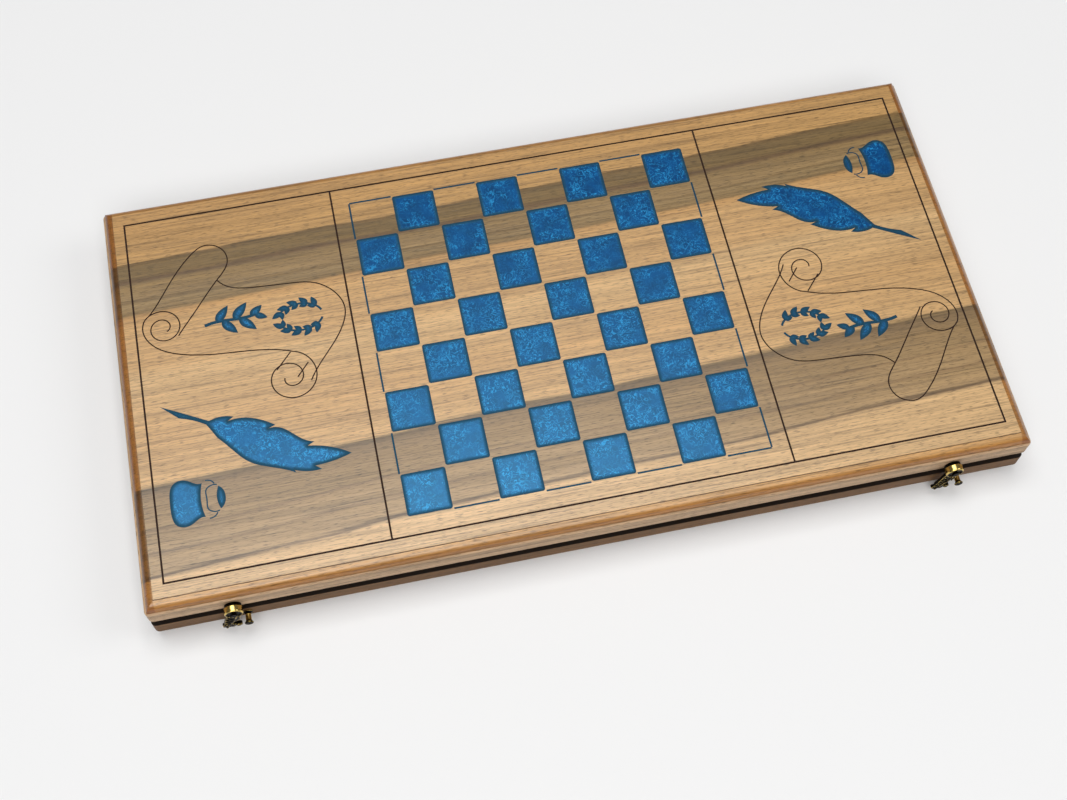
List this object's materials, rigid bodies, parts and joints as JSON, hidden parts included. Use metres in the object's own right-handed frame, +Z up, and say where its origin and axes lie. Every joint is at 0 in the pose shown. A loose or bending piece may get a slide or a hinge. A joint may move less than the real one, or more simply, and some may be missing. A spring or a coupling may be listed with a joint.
{
  "type": "backgammon case",
  "caption": "Folding wooden backgammon case with a resin chessboard inlaid in its lid, back hinges and front hook clasps.",
  "frame": {"origin": "middle of the flat face that the closed case stands on", "axes": "+Z up, +X along the length, -Y towards the clasps at the front, hinges at +Y"},
  "size_m": [0.6, 0.3206, 0.048],
  "materials": {
    "lid_walnut": "satin varnish, light walnut with brown bands",
    "upper_rail_walnut": "satin varnish, pale walnut sapwood",
    "lower_rail_walnut": "satin varnish, brown walnut",
    "base_walnut": "satin varnish, brown walnut",
    "playing_board_wood": "satin varnish",
    "dark_walnut_inlay": "satin varnish",
    "blue_resin": "marbled blue epoxy resin, sanded flush and polished",
    "antique_brass": "antiqued: dark hollows, polished ridges",
    "hinge_brass": "satin"
  },
  "bodies": {
    "lower_half": {"lower_outer_board": "base_walnut", "lower_front_rail": "lower_rail_walnut", "lower_back_rail": "lower_rail_walnut", "lower_left_rail": "lower_rail_walnut", "lower_right_rail": "lower_rail_walnut", "lower_playing_board": "playing_board_wood", "lower_resin_points": "blue_resin", "lower_walnut_points": "dark_walnut_inlay", "left_hinge_lower_leaf": "hinge_brass", "left_hinge_pin": "hinge_brass", "left_hinge_lower_screws": "hinge_brass", "left_catch_stud": "antique_brass", "right_hinge_lower_leaf": "hinge_brass", "right_hinge_pin": "hinge_brass", "right_hinge_lower_screws": "hinge_brass", "right_catch_stud": "antique_brass"},
    "upper_half": {"upper_outer_board": "lid_walnut", "upper_front_rail": "upper_rail_walnut", "upper_back_rail": "upper_rail_walnut", "upper_left_rail": "upper_rail_walnut", "upper_right_rail": "upper_rail_walnut", "upper_playing_board": "playing_board_wood", "upper_resin_points": "blue_resin", "upper_walnut_points": "dark_walnut_inlay", "chess_squares": "blue_resin", "chess_rim_lines": "blue_resin", "left_feather": "blue_resin", "left_ink_pot": "blue_resin", "left_sprigs": "blue_resin", "left_hinge_upper_leaf": "hinge_brass", "left_hinge_upper_screws": "hinge_brass", "left_clasp_base": "antique_brass", "left_clasp_pivot_screw": "antique_brass", "right_feather": "blue_resin", "right_ink_pot": "blue_resin", "right_sprigs": "blue_resin", "right_hinge_upper_leaf": "hinge_brass", "right_hinge_upper_screws": "hinge_brass", "right_clasp_base": "antique_brass", "right_clasp_pivot_screw": "antique_brass"},
    "left_hook": {"left_clasp_hook": "antique_brass"},
    "right_hook": {"right_clasp_hook": "antique_brass"}
  },
  "joints": [
    {"name": "lid_hinge", "type": "hinge", "parent": "lower_half", "child": "upper_half", "pos_m": [0, 0.15475, 0.024], "axis": [-1, 0, 0], "range_deg": [0, 180]},
    {"name": "left_hook_turn", "type": "hinge", "parent": "upper_half", "child": "left_hook", "pos_m": [-0.245, -0.1545, 0.032], "axis": [0, 1, 0], "range_deg": [-26, 100]},
    {"name": "right_hook_turn", "type": "hinge", "parent": "upper_half", "child": "right_hook", "pos_m": [0.245, -0.1545, 0.032], "axis": [0, 1, 0], "range_deg": [-26, 100]}
  ]
}
